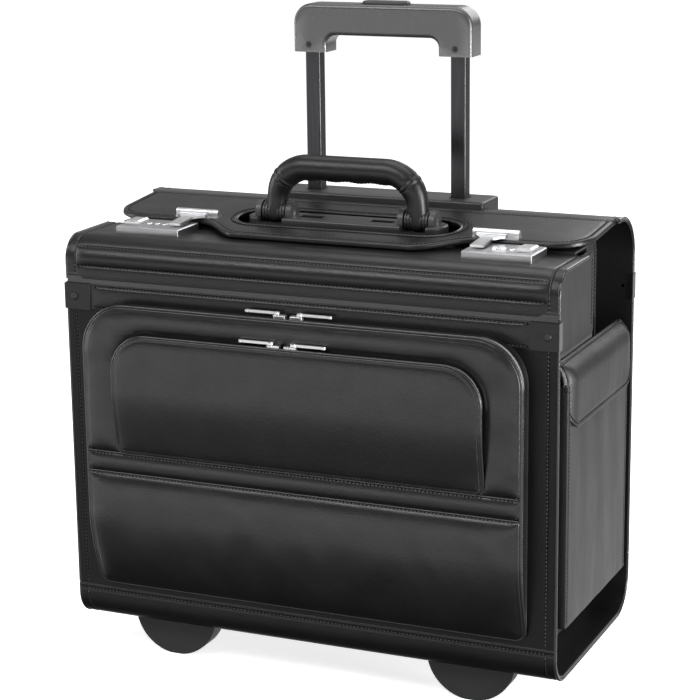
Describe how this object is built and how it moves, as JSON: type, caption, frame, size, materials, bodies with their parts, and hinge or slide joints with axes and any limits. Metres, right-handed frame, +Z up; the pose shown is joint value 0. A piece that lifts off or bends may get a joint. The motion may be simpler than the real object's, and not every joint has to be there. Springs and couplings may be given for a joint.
{
  "type": "rolling laptop case",
  "caption": "Wheeled hard-framed pilot case in smooth black leather with a two-part lid, combination locks, carry handle, telescopic trolley handle and zipped front pockets.",
  "frame": {"origin": "on the ground, under the middle of the whole object", "axes": "+Z up, +Y from the pocketed front towards the trolley handle at the back, +X to the right seen from the front"},
  "size_m": [0.482, 0.259, 0.601],
  "materials": {
    "shell_leather": "smooth black synthetic leather, satin",
    "pocket_leather": "padded smooth black synthetic leather",
    "lining": "woven lining over board",
    "chrome": "bright plated steel",
    "black_steel": "black painted steel",
    "steel": "zinc plated steel",
    "anodised": "black anodised tube",
    "grip_plastic": "dark grey moulded plastic, satin",
    "black_plastic": "black moulded plastic",
    "tread": "soft black tread",
    "dial_metal": "plated number dial"
  },
  "bodies": {
    "case": {"front_panel": "shell_leather", "bottom_panel": "shell_leather", "back_panel": "shell_leather", "reinforcement_strips": "shell_leather", "corner_clips": "black_steel", "clip_rivets": "black_steel", "side_panels": "shell_leather", "side_pockets": "pocket_leather", "front_pocket": "pocket_leather", "accessory_pocket": "pocket_leather", "handle_frame": "steel", "handle_base": "black_plastic", "handle_pins": "steel", "outer_tubes": "anodised", "trolley_foot": "black_plastic", "trolley_bezel": "black_plastic", "trolley_cover": "lining", "wheel_housings": "black_plastic", "wheel_axles": "steel", "front_feet": "black_plastic", "foot_screws": "steel", "floor_board": "lining", "laptop_divider": "lining"},
    "rear_lid": {"rear_lid": "shell_leather", "hasp_mounts": "chrome"},
    "front_lid": {"front_lid": "shell_leather", "lock_body_left": "chrome", "lock_body_right": "chrome"},
    "carry_handle": {"carry_handle": "grip_plastic"},
    "mid_stage": {"mid_tubes": "anodised"},
    "grip": {"inner_tubes": "anodised", "trolley_grip": "grip_plastic", "grip_screws": "steel"},
    "release": {"release_button": "grip_plastic", "push_yoke": "steel"},
    "hasp_left": {"hasp_left": "chrome"},
    "lock_slide_left": {"lock_slide_left": "chrome"},
    "lock_dial_left_1": {"lock_dial_left_1": "dial_metal"},
    "lock_dial_left_2": {"lock_dial_left_2": "dial_metal"},
    "lock_dial_left_3": {"lock_dial_left_3": "dial_metal"},
    "wheel_left": {"wheel_tyre_left": "tread", "wheel_hub_left": "black_plastic"},
    "pocket_flap_left": {"pocket_flap_left": "pocket_leather"},
    "main_zip_slider_left": {"main_zip_slider_left": "chrome"},
    "main_zip_pull_left": {"main_zip_pull_left": "chrome"},
    "accessory_zip_slider_left": {"accessory_zip_slider_left": "chrome"},
    "accessory_zip_pull_left": {"accessory_zip_pull_left": "chrome"},
    "hasp_right": {"hasp_right": "chrome"},
    "lock_slide_right": {"lock_slide_right": "chrome"},
    "lock_dial_right_1": {"lock_dial_right_1": "dial_metal"},
    "lock_dial_right_2": {"lock_dial_right_2": "dial_metal"},
    "lock_dial_right_3": {"lock_dial_right_3": "dial_metal"},
    "wheel_right": {"wheel_tyre_right": "tread", "wheel_hub_right": "black_plastic"},
    "pocket_flap_right": {"pocket_flap_right": "pocket_leather"},
    "main_zip_slider_right": {"main_zip_slider_right": "chrome"},
    "main_zip_pull_right": {"main_zip_pull_right": "chrome"},
    "accessory_zip_slider_right": {"accessory_zip_slider_right": "chrome"},
    "accessory_zip_pull_right": {"accessory_zip_pull_right": "chrome"}
  },
  "joints": [
    {"name": "rear_lid_open", "type": "hinge", "parent": "case", "child": "rear_lid", "pos_m": [0, 0.0665, 0.416], "axis": [-1, 0, 0], "range_deg": [0, 90]},
    {"name": "front_lid_open", "type": "hinge", "parent": "case", "child": "front_lid", "pos_m": [0, -0.1015, 0.359], "axis": [1, 0, 0], "range_deg": [0, 90]},
    {"name": "carry_handle_tilt", "type": "hinge", "parent": "case", "child": "carry_handle", "pos_m": [0, 0.0005, 0.416], "axis": [-1, 0, 0], "range_deg": [-45, 45]},
    {"name": "trolley_lower_stage", "type": "slide", "parent": "case", "child": "mid_stage", "axis": [0, 0, 1], "range_m": [0, 0.28]},
    {"name": "trolley_upper_stage", "type": "slide", "parent": "mid_stage", "child": "grip", "axis": [0, 0, 1], "range_m": [-0.13, 0.15]},
    {"name": "trolley_release", "type": "slide", "parent": "grip", "child": "release", "axis": [0, 0, -1], "range_m": [0, 0.003], "stiffness_N_per_m": 700, "springref_m": -0.003},
    {"name": "hasp_left_lift", "type": "hinge", "parent": "rear_lid", "child": "hasp_left", "pos_m": [-0.146, -0.01786, 0.41402], "axis": [-1, 0, 0], "range_deg": [0, 100]},
    {"name": "lock_slide_left_push", "type": "slide", "parent": "front_lid", "child": "lock_slide_left", "axis": [-1, 0, 0], "range_m": [0, 0.004], "stiffness_N_per_m": 200, "springref_m": -0.003},
    {"name": "lock_dial_left_1_turn", "type": "hinge", "parent": "front_lid", "child": "lock_dial_left_1", "pos_m": [-0.176, -0.0495, 0.4003], "axis": [1, 0, 0], "continuous": true},
    {"name": "lock_dial_left_2_turn", "type": "hinge", "parent": "front_lid", "child": "lock_dial_left_2", "pos_m": [-0.168, -0.0495, 0.4003], "axis": [1, 0, 0], "continuous": true},
    {"name": "lock_dial_left_3_turn", "type": "hinge", "parent": "front_lid", "child": "lock_dial_left_3", "pos_m": [-0.16, -0.0495, 0.4003], "axis": [1, 0, 0], "continuous": true},
    {"name": "wheel_left_roll", "type": "hinge", "parent": "case", "child": "wheel_left", "pos_m": [-0.165, 0.0915, 0.038], "axis": [1, 0, 0], "continuous": true},
    {"name": "pocket_flap_left_lift", "type": "hinge", "parent": "case", "child": "pocket_flap_left", "pos_m": [-0.2255, 0, 0.32], "axis": [0, 1, 0], "range_deg": [0, 100]},
    {"name": "main_zip_left_slide", "type": "slide", "parent": "case", "child": "main_zip_slider_left", "axis": [-1, 0, 0], "range_m": [0, 0.14]},
    {"name": "main_zip_pull_left_turn", "type": "hinge", "parent": "main_zip_slider_left", "child": "main_zip_pull_left", "pos_m": [-0.019, -0.111, 0.3484], "axis": [0, 0, 1], "range_deg": [0, 80]},
    {"name": "accessory_zip_left_slide", "type": "slide", "parent": "case", "child": "accessory_zip_slider_left", "axis": [-1, 0, 0], "range_m": [0, 0.115]},
    {"name": "accessory_zip_pull_left_turn", "type": "hinge", "parent": "accessory_zip_slider_left", "child": "accessory_zip_pull_left", "pos_m": [-0.019, -0.125, 0.3244], "axis": [0, 0, 1], "range_deg": [0, 80]},
    {"name": "hasp_right_lift", "type": "hinge", "parent": "rear_lid", "child": "hasp_right", "pos_m": [0.146, -0.01786, 0.41402], "axis": [-1, 0, 0], "range_deg": [0, 100]},
    {"name": "lock_slide_right_push", "type": "slide", "parent": "front_lid", "child": "lock_slide_right", "axis": [1, 0, 0], "range_m": [0, 0.004], "stiffness_N_per_m": 200, "springref_m": -0.003},
    {"name": "lock_dial_right_1_turn", "type": "hinge", "parent": "front_lid", "child": "lock_dial_right_1", "pos_m": [0.16, -0.0495, 0.4003], "axis": [1, 0, 0], "continuous": true},
    {"name": "lock_dial_right_2_turn", "type": "hinge", "parent": "front_lid", "child": "lock_dial_right_2", "pos_m": [0.168, -0.0495, 0.4003], "axis": [1, 0, 0], "continuous": true},
    {"name": "lock_dial_right_3_turn", "type": "hinge", "parent": "front_lid", "child": "lock_dial_right_3", "pos_m": [0.176, -0.0495, 0.4003], "axis": [1, 0, 0], "continuous": true},
    {"name": "wheel_right_roll", "type": "hinge", "parent": "case", "child": "wheel_right", "pos_m": [0.165, 0.0915, 0.038], "axis": [1, 0, 0], "continuous": true},
    {"name": "pocket_flap_right_lift", "type": "hinge", "parent": "case", "child": "pocket_flap_right", "pos_m": [0.2255, 0, 0.32], "axis": [0, -1, 0], "range_deg": [0, 100]},
    {"name": "main_zip_right_slide", "type": "slide", "parent": "case", "child": "main_zip_slider_right", "axis": [1, 0, 0], "range_m": [0, 0.155]},
    {"name": "main_zip_pull_right_turn", "type": "hinge", "parent": "main_zip_slider_right", "child": "main_zip_pull_right", "pos_m": [0.003, -0.111, 0.3484], "axis": [0, 0, -1], "range_deg": [0, 80]},
    {"name": "accessory_zip_right_slide", "type": "slide", "parent": "case", "child": "accessory_zip_slider_right", "axis": [1, 0, 0], "range_m": [0, 0.13]},
    {"name": "accessory_zip_pull_right_turn", "type": "hinge", "parent": "accessory_zip_slider_right", "child": "accessory_zip_pull_right", "pos_m": [0.003, -0.125, 0.3244], "axis": [0, 0, -1], "range_deg": [0, 80]}
  ],
  "couplings": [
    {"joint": "front_lid_open", "follows": "rear_lid_open", "ratio": 1}
  ]
}
